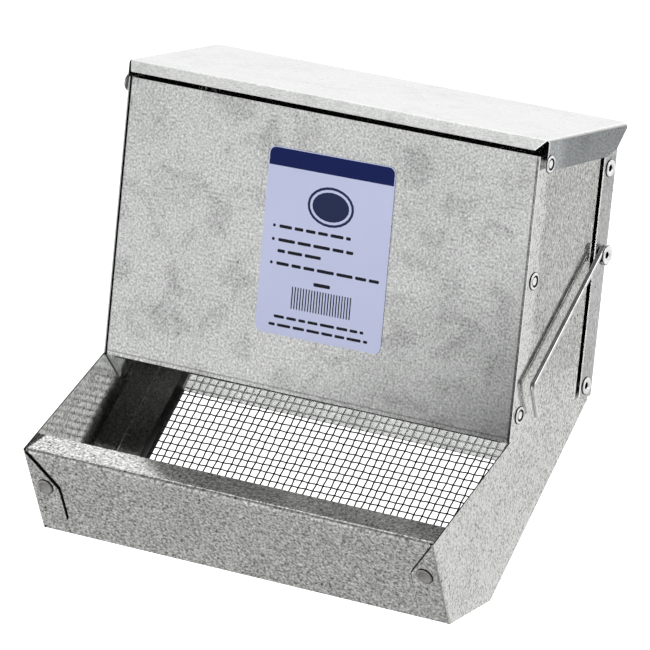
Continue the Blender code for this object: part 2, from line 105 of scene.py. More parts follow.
# Rivets.
HEAD_T = 0.5 * MM
BORE_R = 1.25 * MM
BORE_DEPTH = 1.5 * MM
SHANK_R = 1.5 * MM
TAIL_R = 2.3 * MM
TAIL_T = 0.9 * MM
RIVET_SIDES = 40

# Wire hooks, from the pivot. The wire's eye and run take a painted shade where they face up or
# down.
WIRE_R = 1.1 * MM
WIRE_SIDES = 20
WIRE_END_ROUND = 0.3 * MM
EYE_R = 2.9 * MM
EYE_WRAP = math.radians(278)
EYE_STEPS = 48
RUN_END = Vector((-47.9, -44.0)) * MM
TAIL_END = Vector((-41.8, -56.2)) * MM
HOOK_BEND = 2.2 * MM
HOOK_BEND_STEPS = 12
PAINTED_SHADE_BELOW = 0.62

# Label: its sheet, head band, badge, printed lines and bars, from its middle.
LABEL_SIZE = Vector((54.6, 71.4)) * MM
LABEL_TURN = math.radians(0.8)
LABEL_CORNER = 3.0 * MM
LABEL_TOP = LABEL_SIZE.y / 2
LABEL_MARGIN = 0.35 * MM
LABEL_BAND = 7.2 * MM
STOCK, NAVY, BLACK, BADGE = range(4)
BADGE_PLACE = (1.0 * MM, LABEL_TOP - 19.5 * MM)
BADGE_RINGS = ((7.6 * MM, 1.32, BADGE), (6.6 * MM, 1.36, STOCK), (5.6 * MM, 1.42, BADGE))
LINES_LEFT = 7.0 * MM - LABEL_SIZE.x / 2
LINES = ((-30.0, 31.0, True), (-35.2, 33.0, True), (-39.4, 19.0, False), (-44.2, 44.5, True))
FOOT_LINES = ((-64.4, 19.5), (-67.6, 21.5))
SHORTEST_WORD = 1.5 * MM
DOT_R = 0.62 * MM
DOT_LEFT = 2.2 * MM
BARS = 22
BARS_LEFT = -12.6 * MM
BARS_PITCH = 1.2 * MM
BAR_WIDTH = 0.5 * MM
INK = 0.02 * MM
# Painted reflection: the label's tone as the zinc about it mirrors it.
MIRRORED = 0.6

# Stage.
FLOOR_SIZE = 80
FLOOR_Z = -1.2
CAMERA_PLACE = (1.05655, -1.90542, 0.47532)
CAMERA_TURN = (28.865, 11.881, 5.692)
LENS_MM, SENSOR_MM = 328.18, 36.0


# ---------------------------------------------------------------- node trees


class Graph:
    """Short calls for a material's or a world's node tree."""

    def __init__(self, owner):
        owner.use_nodes = True
        self.tree = owner.node_tree
        self.tree.nodes.clear()

    def add(self, kind, inputs=(), out=0, **settings):
        node = self.tree.nodes.new(kind)
        for name, value in settings.items():
            setattr(node, name, value)
        for name, value in dict(inputs).items():
            if isinstance(value, bpy.types.NodeSocket):
                self.tree.links.new(value, node.inputs[name])
            else:
                node.inputs[name].default_value = value
        return node.outputs[out] if node.outputs else node

    def math(self, operation, a, b=0.0, c=0.0):
        return self.add("ShaderNodeMath", {0: a, 1: b, 2: c}, operation=operation)

    def ramp(self, value, low, high, to_low=0.0, to_high=1.0):
        inputs = {"Value": value, 1: low, 2: high, 3: to_low, 4: to_high}
        return self.add("ShaderNodeMapRange", inputs, interpolation_type="SMOOTHSTEP")

    def noise(self, vector, scale, detail=2.0, roughness=0.5, distortion=0.0):
        inputs = {
            "Vector": vector,
            "Scale": scale,
            "Detail": detail,
            "Roughness": roughness,
            "Distortion": distortion,
        }
        return self.add("ShaderNodeTexNoise", inputs)

    def cells(self, vector, scale, out):
        inputs = {"Vector": vector, "Scale": scale}
        return self.add("ShaderNodeTexVoronoi", inputs, out=out)

    def place(self, offset=(0, 0, 0), scale=(1, 1, 1)):
        where = self.add("ShaderNodeTexCoord", out="Object")
        inputs = {"Vector": where, "Location": offset, "Scale": scale}
        return self.add("ShaderNodeMapping", inputs)

    def tint(self, value, colour):
        inputs = {0: value, 1: value, 2: value}
        grey = self.add("ShaderNodeCombineColor", inputs)
        inputs = {0: grey, 1: colour}
        return self.add("ShaderNodeVectorMath", inputs, operation="MULTIPLY")

    def fall(self, where, factor, ramps):
        amount = 1.0
        for direction, start, end in ramps:
            inputs = {0: where, 1: direction}
            along = self.add("ShaderNodeVectorMath", inputs, "Value", operation="DOT_PRODUCT")
            amount = self.math("MULTIPLY", self.ramp(along, start, end), amount)
        return self.math("MULTIPLY_ADD", amount, factor - 1.0, 1.0)

    def surface(self, bump=None, strength=0.3, distance=0.05 * MM, **values):
        inputs = {name.replace("_", " "): value for name, value in values.items()}
        if bump is not None:
            height = {"Height": bump, "Strength": strength, "Distance": distance}
            inputs["Normal"] = self.add("ShaderNodeBump", height)
        shader = self.add("ShaderNodeBsdfPrincipled", inputs)
        self.add("ShaderNodeOutputMaterial", {"Surface": shader})


def clouded(g, spot, patch, amount):
    """A shade of 1, less soft clouds and mottled patches."""
    cloud = g.ramp(g.noise(spot, 26, 3.0, 0.55, 0.4), 0.42, 0.68)
    mottle = g.ramp(g.noise(spot, 520, 3.0, 0.7), 0.34, 0.64)
    shade = g.math("MULTIPLY", patch, g.math("MULTIPLY_ADD", mottle, 0.75, 0.25))
    shade = g.math("MULTIPLY_ADD", shade, -amount, 1.0)
    return g.math("MULTIPLY_ADD", cloud, -amount * 0.5, shade)


def scattered_dots(g, spot):
    """Small round specks in fewer than half of the cells."""
    distance = g.cells(spot, 210, "Distance")
    chance = g.add("ShaderNodeSeparateColor", {0: g.cells(spot, 210, "Color")})
    return g.math("MULTIPLY", g.ramp(distance, 0.06, 0.12, 1.0, 0.0), g.ramp(chance, 0.55, 0.6))


def galvanised(
    name,
    value=0.62,
    offset=(0.0, 0.0, 0.0),
    grain_scale=(1500, 1500, 650),
    grain=0.5,
    fine=0.35,
    clouds=0.16,
    specks=0.5,
    rough=0.24,
    tint=(0.985, 1.0, 0.985),
    painted_shading=(),
):
    """Zinc-coated sheet: clouds, mottled patches, a rolled grain, fine crystals, dark specks.

    Scales are in features per metre. Each fall is painted light or shade, given as (factor,
    ramps):
    the zinc's colour goes to that factor past all of its ramps, which are (direction, start, end)
    in the object's space.
    """
    material = bpy.data.materials.new(name)
    g = Graph(material)
    where = g.add("ShaderNodeTexCoord", out="Object")
    spot = g.place(offset)
    patch = g.ramp(g.noise(spot, 70, 5.0, 0.62, 0.5), 0.48, 0.64)
    streaks = g.math("SUBTRACT", g.noise(g.place(offset, scale=grain_scale), 1.0, 2.0, 0.6), 0.5)
    crystals = g.math("SUBTRACT", g.noise(spot, 1100, 1.0, 0.5), 0.5)
    shade = clouded(g, spot, patch, clouds)
    shade = g.math("MULTIPLY_ADD", streaks, 2 * grain, shade)
    shade = g.math("MULTIPLY_ADD", crystals, 2 * fine, shade)
    shade = g.math("MULTIPLY_ADD", scattered_dots(g, spot), -specks, shade)
    for factor, ramps in painted_shading:
        shade = g.math("MULTIPLY", shade, g.fall(where, factor, ramps))
    colour = g.tint(g.math("MULTIPLY", shade, value), tint)

    dull = g.math("MULTIPLY_ADD", crystals, 0.08, rough)
    dull = g.math("MULTIPLY_ADD", patch, 0.05, dull)
    height = g.math("MULTIPLY_ADD", crystals, 0.5, g.math("MULTIPLY", streaks, 1.2))
    height = g.math("MULTIPLY_ADD", g.noise(spot, 14, 1.0, 0.4), 14.0, height)
    g.surface(height, 0.15, 0.02 * MM, Base_Color=colour, Roughness=dull, Metallic=1.0)
    return material


def chalky(name, offset):
    """Zinc gone matt and pale where feed slides over it."""
    material = bpy.data.materials.new(name)
    g = Graph(material)
    spot = g.place(offset)
    mottle = g.math("SUBTRACT", g.noise(spot, 900, 3.0, 0.65), 0.5)
    cloud = g.ramp(g.noise(spot, 90, 3.0, 0.6), 0.4, 0.7)
    shade = g.math("MULTIPLY_ADD", mottle, 0.5, 1.0)
    shade = g.math("MULTIPLY_ADD", cloud, -0.14, shade)
    colour = g.tint(g.math("MULTIPLY", shade, 0.78), (0.98, 1.0, 0.98))
    dull = g.math("MULTIPLY_ADD", mottle, 0.2, 0.5)
    g.surface(mottle, 0.3, 0.03 * MM, Base_Color=colour, Roughness=dull, Metallic=0.05)
    return material


def plain_metal(name, value, rough, along, grain=0.12, tint=(1.0, 1.0, 1.0), metal=1.0, painted_shading=()):
    """Metal with fine marks, stretched as the scales along X, Y and Z say, smudging, and painted
    light or shade from its falls.
    """
    material = bpy.data.materials.new(name)
    g = Graph(material)
    where = g.add("ShaderNodeTexCoord", out="Object")
    marks = g.noise(g.place(scale=along), 1.0, 3.0, 0.6)
    smudge = g.noise(g.place(), 320, 3.0, 0.6)
    shade = g.math("MULTIPLY_ADD", g.math("SUBTRACT", marks, 0.5), grain, 1.0)
    shade = g.math("MULTIPLY_ADD", g.ramp(smudge, 0.45, 0.75), -0.22, shade)
    for factor, ramps in painted_shading:
        shade = g.math("MULTIPLY", shade, g.fall(where, factor, ramps))
    colour = g.tint(g.math("MULTIPLY", shade, value), tint)
    dull = g.math("MULTIPLY_ADD", g.ramp(smudge, 0.4, 0.7), 0.16, rough)
    g.surface(marks, 0.15, 0.01 * MM, Base_Color=colour, Roughness=dull, Metallic=metal)
    return material


def vinyl(name, colour):
    """Printed label stock with a faint cast of tone and a slightly uneven lie.

    In glossy rays its colour turns greyer and dimmer: a painted reflection for the zinc about it
    to mirror.
    """
    material = bpy.data.materials.new(name)
    g = Graph(material)
    tone = g.noise(g.place(), 38, 2.0, 0.5)
    fibre = g.noise(g.place(), 1500, 2.0, 0.6)
    shade = g.math("MULTIPLY_ADD", g.math("SUBTRACT", tone, 0.5), 0.10, 1.0)
    shade = g.math("MULTIPLY_ADD", g.math("SUBTRACT", fibre, 0.5), 0.03, shade)
    mirrored = g.add("ShaderNodeLightPath", out="Is Glossy Ray")
    pale = MIRRORED * sum(colour) / 3
    inputs = {0: mirrored, 6: g.tint(shade, colour), 7: g.tint(shade, (pale, pale, pale))}
    base = g.add("ShaderNodeMix", inputs, 2, data_type="RGBA")
    dull = g.math("MULTIPLY_ADD", fibre, 0.08, 0.36)
    values = {"Base_Color": base, "Roughness": dull, "Specular_IOR_Level": 0.12}
    g.surface(tone, 0.2, 0.3 * MM, **values)
    return material


# ---------------------------------------------------------------- shapes


def piece(name, shape, body, slot, replaced, *materials, smooth=None):
    """An object from a bmesh, riding on its body in place of CAD nodes."""
    data = bpy.data.meshes.new(name)
    shape.to_mesh(data)
    shape.free()
    for material in materials:
        data.materials.append(material)
    if smooth is not None:
        data.shade_smooth()
        data.set_sharp_from_angle(angle=math.radians(smooth))
    obj = bpy.data.objects.new(name, data)
    bpy.context.scene.collection.objects.link(obj)
    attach(obj, body)
    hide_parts(replaced)
    return obj


def tube(shape, path, radius, sides):
    """A closed tube along a path, its rings carried on without twist."""
    along = [(b - a).normalized() for a, b in zip(path, path[1:])]
    along = [along[0], *[(a + b).normalized() for a, b in zip(along, along[1:])], along[-1]]
    across = along[0].orthogonal().normalized()
    rings = []
    for point, direction in zip(path, along):
        across = (across - direction * across.dot(direction)).normalized()
        third = direction.cross(across)
        ring = []
        for k in range(sides):
            angle = 2 * math.pi * k / sides
            offset = across * math.cos(angle) + third * math.sin(angle)
            ring.append(shape.verts.new(point + offset * radius))
        rings.append(ring)
    shape.faces.new(rings[0][::-1])
    shape.faces.new(rings[-1])
    for low, high in zip(rings, rings[1:]):
        for k in range(sides):
            k2 = (k + 1) % sides
            shape.faces.new((low[k], low[k2], high[k2], high[k]))


def round_edges(shape, edges, width):
    """Rounds edges off, the same on every piece."""
    bmesh.ops.bevel(shape, geom=edges, offset=width, segments=3, affect="EDGES", profile=0.5)


def lathe(shape, place, axis, profile, sides, dark=()):
    """A closed turned shape from (radius, height) points, from the top's centre to the bottom's.

    Bands whose index is in dark take the second material.
    """
    axis = Vector(axis).normalized()
    across = axis.orthogonal().normalized()
    third = axis.cross(across)
    rings = []
    for radius, height in profile:
        ring = []
        for k in range(1 if radius == 0 else sides):
            angle = 2 * math.pi * k / sides
            offset = across * math.cos(angle) + third * math.sin(angle)
            ring.append(shape.verts.new(place + axis * height + offset * radius))
        rings.append(ring)
    for band, (upper, lower) in enumerate(zip(rings, rings[1:])):
        for k in range(sides):
            k2 = (k + 1) % sides
            corners = [upper[k % len(upper)], lower[k % len(lower)]]
            corners += [lower[k2 % len(lower)], upper[k2 % len(upper)]]
            face = shape.faces.new(list(dict.fromkeys(corners)))
            face.material_index = int(band in dark)


# ---------------------------------------------------------------- woven screen


def wander(seed, at, amount):
    """A smooth sideways drift, the same each run."""
    return amount * noise.noise(Vector((at * DRIFT_SCALE, seed * 7.31, 0.5)))


def weave(shape, centre, counts, directions, half_run, phase, seed):
    """One set of wires, each over and under the other set's, with a slight drift."""
    count, other = counts
    step_dir, run_dir = directions
    for i in range(count + 1):
        base = (i - count / 2) * MESH_PITCH
        path = []
        for s in range(-MESH_STEPS // 2, other * MESH_STEPS + MESH_STEPS // 2 + 1):
            run = (s / MESH_STEPS - other / 2) * MESH_PITCH
            run = max(-half_run, min(half_run, run))
            lift = MESH_LIFT * math.cos(math.pi * (s / MESH_STEPS + i + phase))
            drift = wander(seed + i, run, MESH_DRIFT)
            point = centre + step_dir * (base + drift) + run_dir * run + SLOPE_UP * lift
            if not path or (point - path[-1]).length > MIN_STEP:
                path.append(point)
        tube(shape, path, MESH_WIRE_R, MESH_SIDES)


def edge_strip(shape, middle, length):
    """A folded strip down one side of the screen, with rounded edges."""
    size = Matrix.Diagonal((MESH_EDGE, length, MESH_EDGE_THICK, 1))
    turn = Matrix.Rotation(SLOPE_ANGLE, 4, "X")
    made = bmesh.ops.create_cube(shape, size=1, matrix=Matrix.Translation(middle) @ turn @ size)
    edges = list(dict.fromkeys(e for v in made["verts"] for e in v.link_edges))
    round_edges(shape, edges, MESH_EDGE_ROUND)


def woven_screen(wire, edging):
    """Plain weave of round wires between two folded edge strips."""
    low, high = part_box("sifter_screen")
    centre = (low + high) / 2
    width = high.x - low.x - 2 * MESH_EDGE
    length = ((high.y - low.y) - MESH_EDGE_THICK * math.sin(SLOPE_ANGLE)) / math.cos(SLOPE_ANGLE)
    columns = int(width / MESH_PITCH)
    rows = int(length / MESH_PITCH)
    shape = bmesh.new()
    down, cross = (RIGHT, SLOPE_ALONG), (SLOPE_ALONG, RIGHT)
    weave(shape, centre, (columns, rows), down, length / 2 - MESH_SHORT, 0, DOWN_SEED)
    weave(shape, centre, (rows, columns), cross, width / 2 + MESH_TUCK, 1, CROSS_SEED)
    for side in (-1, 1):
        edge_strip(shape, centre + RIGHT * side * (width + MESH_EDGE) / 2, length)
    shape.normal_update()
    strip_from = width / 2 + 0.5 * MM
    # Painted shadow: the strips' left and right sides keep the near-black wire colour, as the gap
    # beside them.
    for face in shape.faces:
        in_strip = abs(face.calc_center_median().x) > strip_from
        face.material_index = int(in_strip and abs(face.normal.x) < 0.3)
    piece(
        "woven_screen", shape, "feeder", "screen_wire", "sifter_screen", wire, edging, smooth=50
    )


# ---------------------------------------------------------------- rivets and wires


def axis_of(name):
    """The way a rivet's head faces."""
    if "tab" in name:
        return FACE_OUT
    if "card" in name:
        return BACK
    return -RIGHT if name.endswith("left") else RIGHT


def rivet_dish(head_r, top, open_tube):
    """From the head's centre out: an open tube's bore, or a shallow dish."""
    if open_tube:
        bore = [(0, top - BORE_DEPTH), (BORE_R, top - BORE_DEPTH), (1.04 * BORE_R, top - 0.5 * MM)]
        return bore + [(head_r * 0.5, top - 0.2 * MM), (head_r * 0.64, top - 0.04 * MM)]
    dish = [(0, top - 0.28 * MM), (head_r * 0.46, top - 0.27 * MM)]
    return dish + [(head_r * 0.62, top - 0.16 * MM), (head_r * 0.72, top - 0.02 * MM)]


def rivet_crown(head_r, top):
    """The rolled rim, from its crest out to its side."""
    return [
        (head_r * 0.80, top),
        (head_r * 0.90, top - 0.03 * MM),
        (head_r * 0.97, top - 0.13 * MM),
    ]


def rivet_skirt(head_r, top):
    """The head's side, flared at its foot to carry a painted shadow round the head, and its
    underside.
    """
    under = top - HEAD_T
    return [
        (head_r, top - 0.28 * MM),
        (head_r + 0.22 * MM, under + 0.08 * MM),
        (head_r + 0.2 * MM, under),
        (SHANK_R, under),
    ]


def rivet_tail(bottom):
    """The clenched end behind the sheets, hollow at its centre."""
    return [
        (SHANK_R, bottom + TAIL_T),
        (TAIL_R - 0.1 * MM, bottom + TAIL_T),
        (TAIL_R, bottom + 0.7 * MM),
        (TAIL_R - 0.1 * MM, bottom + 0.25 * MM),
        (1.7 * MM, bottom),
        (0.9 * MM, bottom + 0.05 * MM),
        (0.7 * MM, bottom + 0.4 * MM),
        (0, bottom + 0.45 * MM),
    ]


def fine_rivet(name, zinc, shadow):
    """A turned rivet: a thin head with a rolled rim, dished or flat or on an open tube.

    The bore, or the dish's slope, and the head's side take a painted shadow: the second, dark
    material.
    """
    axis = axis_of(name)
    points = [v.co.copy() for v in frame["nodes"][name].data.vertices]
    heights = [p.dot(axis) for p in points]
    top, bottom = max(heights), min(heights)
    head = [p for p, h in zip(points, heights) if h > top - 0.2 * MM]
    middle = sum(head, Vector()) / len(head)
    place = middle - axis * middle.dot(axis)
    head_r = max((p - axis * p.dot(axis) - place).length for p in points)
    open_tube = "back" in name or "hook" in name
    front = rivet_dish(head_r, top, open_tube) + rivet_crown(head_r, top)
    # Painted shadow: the head's side, and the bore or the dish's slope, take the dark material.
    dark = {len(front), len(front) + 1}
    if open_tube:
        dark |= {0, 1}
    elif "tab" not in name:
        dark |= {1, 2}
    shape = bmesh.new()
    profile = front + rivet_skirt(head_r, top) + rivet_tail(bottom)
    lathe(shape, place, axis, profile, RIVET_SIDES, dark)
    bmesh.ops.recalc_face_normals(shape, faces=shape.faces)
    piece(name + "_turned", shape, "feeder", "rivet_steel", name, zinc, shadow, smooth=38)


def arc_corner(before, corner, after, radius, steps):
    """Points of an arc that rounds a corner in the YZ plane."""
    a = (before - corner).normalized()
    b = (after - corner).normalized()
    half = a.angle(b) / 2
    centre = corner + (a + b).normalized() * radius / math.sin(half)
    start = corner + a * radius / math.tan(half) - centre
    sweep = math.pi - 2 * half
    turn = 1 if a.x * b.y - a.y * b.x < 0 else -1
    first = math.atan2(start.y, start.x)
    angles = [first + turn * sweep * s / steps for s in range(steps + 1)]
    return [centre + Vector((math.cos(t), math.sin(t))) * radius for t in angles]


def fine_hook(word, material, shade):
    """A round wire with an open eye, a straight run and a bent tail.

    The eye and the run take a painted shade above and below; the tail keeps the wire's plain
    colour.
    """
    joint = next(j for j in frame["joints"] if j["child"] == "hook_" + word)
    pivot = Vector(joint["pos_m"])
    towards = math.atan2(RUN_END.y, RUN_END.x)
    leave = towards - math.acos(EYE_R / RUN_END.length)
    eye = []
    for step in range(EYE_STEPS + 1):
        angle = leave - EYE_WRAP * (1 - step / EYE_STEPS)
        eye.append(Vector((math.cos(angle), math.sin(angle))) * EYE_R)
    bend = arc_corner(eye[-1], RUN_END, TAIL_END, HOOK_BEND, HOOK_BEND_STEPS)
    flat = [*eye, *bend, TAIL_END]
    path = [Vector((pivot.x, pivot.y + p.x, pivot.z + p.y)) for p in flat]
    shape = bmesh.new()
    tube(shape, path, WIRE_R, WIRE_SIDES)
    rims = [e for face in shape.faces if len(face.verts) > 4 for e in face.edges]
    round_edges(shape, rims, WIRE_END_ROUND)
    bmesh.ops.recalc_face_normals(shape, faces=shape.faces)
    for face in shape.faces:
        above_tail = face.calc_center_median().z > pivot.z + RUN_END.y
        face.material_index = int(above_tail and abs(face.normal.x) < PAINTED_SHADE_BELOW)
    name = "wire_hook_" + word
    piece(name + "_round", shape, "hook_" + word, "hook_wire", name, material, shade, smooth=40)


# ---------------------------------------------------------------- label


def rounded_outline(width, height, radius, steps=8):
    """A rectangle round the origin with rounded corners."""
    corners = ((1, 1), (-1, 1), (-1, -1), (1, -1))
    points = []
    for quarter, (cx, cz) in enumerate(corners):
        for step in range(steps + 1):
            angle = math.pi / 2 * (quarter + step / steps)
            x = cx * (width / 2 - radius) + radius * math.cos(angle)
            z = cz * (height / 2 - radius) + radius * math.sin(angle)
            points.append((x, z))
    return points


def slab(shape, outline, back, front, material, place):
    """A closed flat slab from an outline, between two depths."""
    rings = []
    for y in (back, front):
        rings.append([shape.verts.new(place @ Vector((x, y, z))) for x, z in outline])
    faces = [shape.faces.new(rings[0]), shape.faces.new(rings[1][::-1])]
    for k in range(len(outline)):
        k2 = (k + 1) % len(outline)
        faces.append(shape.faces.new((rings[0][k2], rings[0][k], rings[1][k], rings[1][k2])))
    for face in faces:
        face.material_index = material


def bar(left, right, low, high):
    """A printed bar with softened corners."""
    radius = min(right - left, high - low) * 0.35
    outline = rounded_outline(right - left, high - low, radius, 3)
    return [(x + (left + right) / 2, z + (low + high) / 2) for x, z in outline]


def disc(x, z, radius, across=1.0):
    """A printed dot, or an oval that is wider by across."""
    angles = [2 * math.pi * k / 24 for k in range(24)]
    return [(x + across * radius * math.cos(a), z + radius * math.sin(a)) for a in angles]


def words(start, end, middle, half, lengths, space, seed):
    """A printed line as a row of plain bars of uneven length."""
    rng = random.Random(seed)
    while start < end - SHORTEST_WORD:
        stop = min(start + rng.uniform(*lengths) * MM, end)
        yield bar(start, stop, middle - half, middle + half), BLACK, 1
        start = stop + space


def label_head():
    """The head band and the oval badge, as (outline, material, level)."""
    width, height = LABEL_SIZE
    inner = (width - 2 * LABEL_MARGIN, height - 2 * LABEL_MARGIN, LABEL_CORNER - LABEL_MARGIN)
    side, foot = width / 2 - LABEL_MARGIN, LABEL_TOP - LABEL_BAND
    corners = [p for p in rounded_outline(*inner) if p[1] > foot]
    yield [(side, foot), *corners, (-side, foot)], NAVY, 1
    for level, (radius, across, material) in enumerate(BADGE_RINGS, 1):
        yield disc(*BADGE_PLACE, radius, across), material, level


def label_lines():
    """The printed lines, some with a dot before them."""
    for z, run, dotted in LINES:
        middle = LABEL_TOP + z * MM
        if dotted:
            yield disc(LINES_LEFT - DOT_LEFT, middle, DOT_R), BLACK, 1
        end = LINES_LEFT + run * MM
        yield from words(LINES_LEFT, end, middle, 0.62 * MM, (3.0, 7.5), 1.1 * MM, int(run * 10))


def label_foot():
    """A short bar, a row of upright ones and the last printed lines."""
    low, high = LABEL_TOP - 50.4 * MM, LABEL_TOP - 49.0 * MM
    yield bar(-3.6 * MM, 3.6 * MM, low, high), BLACK, 1
    low, high = LABEL_TOP - 60.5 * MM, LABEL_TOP - 52.0 * MM
    for k in range(BARS):
        left = BARS_LEFT + BARS_PITCH * k
        right = left + BAR_WIDTH
        yield [(right, low), (right, high), (left, high), (left, low)], BLACK, 1
    for z, reach in FOOT_LINES:
        middle, half_run = LABEL_TOP + z * MM, reach * MM
        seed = int(-z * 10)
        yield from words(-half_run, half_run, middle, 0.55 * MM, (2.6, 6.5), 1.0 * MM, seed)


def label_piece(*materials):
    """The sticker with a navy head band and plain printed shapes in place of words."""
    low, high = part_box("label")
    centre = (low + high) / 2
    turn = Matrix.Rotation(-LABEL_TURN, 4, "Y")
    place = Matrix.Translation(Vector((centre.x, 0, centre.z))) @ turn
    back, front = high.y, low.y + INK
    shape = bmesh.new()
    slab(shape, rounded_outline(*LABEL_SIZE, LABEL_CORNER), back, front, STOCK, place)
    for outline, material, level in (*label_head(), *label_lines(), *label_foot()):
        slab(shape, outline, front, front - INK * level / 3, material, place)
    piece("label_print", shape, "feeder", "label", "label", *materials)


# ---------------------------------------------------------------- carried-over sheets


def is_cut_edge(tree, centre, normal):
    """Whether the sheet runs deep behind a face, which makes that face its raw edge."""
    start = centre - normal * PROBE
    place = tree.ray_cast(start, -normal)[0]
    return place is None or (place - start).length > CUT_DEPTH


def spread_gap_shadow(shape, gap_shadow):
    """Draws the sheared edge outwards where a sheet lies against another, as a thin dark lip: a
    painted shadow of the gap between the sheets.
    """
    out = gap_shadow.normalized()
    for vert in shape.verts:
        cuts = [f.normal for f in vert.link_faces if f.material_index == 1]
        faces = [f for f in vert.link_faces if f.material_index != 1]
        lying = any(f.normal.dot(out) < -SAME_WAY for f in faces)
        along = [n - out * n.dot(out) for n in cuts if abs(n.dot(out)) < 0.3]
        if lying and along:
            vert.co += sum(along, Vector()).normalized() * gap_shadow.length


def even_normals(data):
    """Corner normals led by the largest faces, so flat panels stay flat and folds round off."""
    around = [[] for _ in data.vertices]
    for polygon in data.polygons:
        for index in polygon.vertices:
            around[index].append(polygon)
    limit = math.cos(SHARP)
    normals = []
    for polygon in data.polygons:
        for index in polygon.vertices:
            near = [p for p in around[index] if p.normal.dot(polygon.normal) > limit]
            normals.append(sum((p.normal * p.area for p in near), Vector()).normalized())
    data.shade_smooth()
    data.normals_split_custom_set(normals)


def zinc_sheet(name, body, zinc, edge, front_edge=None, facing=(), gap_shadow=None, front_until=1.0):
    """A sheet with its raw edges told from its faces, in place of the CAD one.

    Each entry of facing is (direction, material), for the faces that look that way; most of these
    materials are painted light or shade for that way. The raw edges that face forward take
    front_edge, up to front_until along X, so that they can be painted apart from the rest.
    """
    shape = bmesh.new()
    shape.from_mesh(frame["nodes"][name].data)
    bmesh.ops.remove_doubles(shape, verts=shape.verts, dist=WELD)
    tree = BVHTree.FromBMesh(shape)
    for face in shape.faces:
        centre = face.calc_center_median()
        if is_cut_edge(tree, centre, face.normal):
            forward = face.normal.y < -SAME_WAY and centre.x < front_until
            face.material_index = 2 if forward else 1
            continue
        for index, (direction, _) in enumerate(facing):
            if face.normal.dot(direction) > SAME_WAY:
                face.material_index = 3 + index
    if gap_shadow is not None:
        spread_gap_shadow(shape, gap_shadow)
    materials = [zinc, edge, front_edge or edge, *[material for _, material in facing]]
    sheet = piece(name + "_zinc", shape, body, "galvanised_sheet", name, *materials)
    even_normals(sheet.data)


# ---------------------------------------------------------------- stage, light, camera


def floor():
    """A wide pale floor well below, where a hutch stands."""
    bpy.ops.mesh.primitive_plane_add(size=FLOOR_SIZE, location=(0, 0, FLOOR_Z))
    ground = bpy.context.active_object
    ground.name = "floor"
    material = bpy.data.materials.new("floor_paint")
    g = Graph(material)
    tone = g.tint(g.math("MULTIPLY_ADD", g.noise(g.place(), 3, 2.0), 0.02, 0.93), (1, 1, 1))
    g.surface(
        Base_Color=tone,
        Roughness=0.9,
        Emission_Color=(1, 1, 1, 1),
        Emission_Strength=0.9,
    )
    ground.data.materials.append(material)
    ground.visible_glossy = False
    ground.visible_diffuse = False
    ground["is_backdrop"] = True


# The room as soft lobes: (direction, sharpness, strength).
LOBES = (
    ((-0.45, 0.75, 0.48), 12, 1.95),
    ((-0.50, 0.40, 0.77), 12, 0.30),
    ((-0.50, 0.05, 0.87), 25, 0.60),
    ((-0.35, -0.90, -0.25), 4, 0.66),
    ((0.47, 0.86, -0.30), 6, 0.56),
    ((-0.40, -0.20, -0.90), 3, 0.28),
    ((0.72, 0.15, -0.62), 20, 0.45),
    ((-0.95, 0.05, -0.20), 5, 0.60),
    ((0.86, 0.23, 0.46), 25, 1.50),
    ((-0.15, -0.20, 0.97), 25, 1.06),
    ((0.10, 0.86, 0.50), 12, 1.00),
)
AMBIENT = 0.13


def studio_world():
    """White for the camera, and for the metal a soft room with a pale table under it."""
    world = bpy.data.worlds.new("studio")
    bpy.context.scene.world = world
    g = Graph(world)
    where = g.add("ShaderNodeTexCoord", out="Generated")
    total = AMBIENT
    for centre, sharp, strength in LOBES:
        inputs = {0: where, 1: Vector(centre).normalized()}
        dot = g.add("ShaderNodeVectorMath", inputs, out="Value", operation="DOT_PRODUCT")
        power = g.math("EXPONENT", g.math("MULTIPLY_ADD", dot, sharp, -sharp))
        total = g.math("MULTIPLY_ADD", power, strength, total)
    room = g.add("ShaderNodeBackground", {"Color": g.tint(total, (1, 1, 1)), "Strength": 1.0})
    white = g.add("ShaderNodeBackground", {"Color": (1, 1, 1, 1), "Strength": 1.1})
    seen = g.add("ShaderNodeLightPath", out="Is Camera Ray")
    mixed = g.add("ShaderNodeMixShader", {0: seen, 1: room, 2: white})
    g.add("ShaderNodeOutputWorld", {"Surface": mixed})


# Soft lamps: name, place, aim, size in metres, watts, and the one piece lit, if it is only one.
LAMPS = (
    ("front_lamp", (-0.3, -2.0, 0.20), (0, 0, 0), (1.4, 0.3), 15, None),
    ("slope_lamp", (-0.3, -2.0, 0.20), (0, 0, 0), (2.4, 0.6), 34, "hopper_back_zinc"),
    ("side_lamp", (2.2, 0.1, 0.5), (0, 0, 0), (1.0, 1.0), 60, None),
    ("top_lamp", (-0.6, 0.3, 1.6), (0, 0, 0.03), (1.0, 1.0), 10, None),
)


def softbox(name, place, target, size, power, only):
    """A soft lamp that only matt surfaces take, as the zinc mirrors the room instead.

    A lamp for one piece is fill light and casts no shadow.
    """
    data = bpy.data.lights.new(name, "AREA")
    data.use_shadow = only is None
    data.shape = "RECTANGLE"
    data.size, data.size_y = size
    data.energy = power
    light = bpy.data.objects.new(name, data)
    light.visible_glossy = False
    light.visible_camera = False
    bpy.context.scene.collection.objects.link(light)
    if only is not None:
        lit = bpy.data.collections.new(name + "_lit")
        lit.objects.link(bpy.data.objects[only])
        light.light_linking.receiver_collection = lit
    light.location = place
    light.rotation_euler = (Vector(target) - Vector(place)).to_track_quat("-Z", "Y").to_euler()


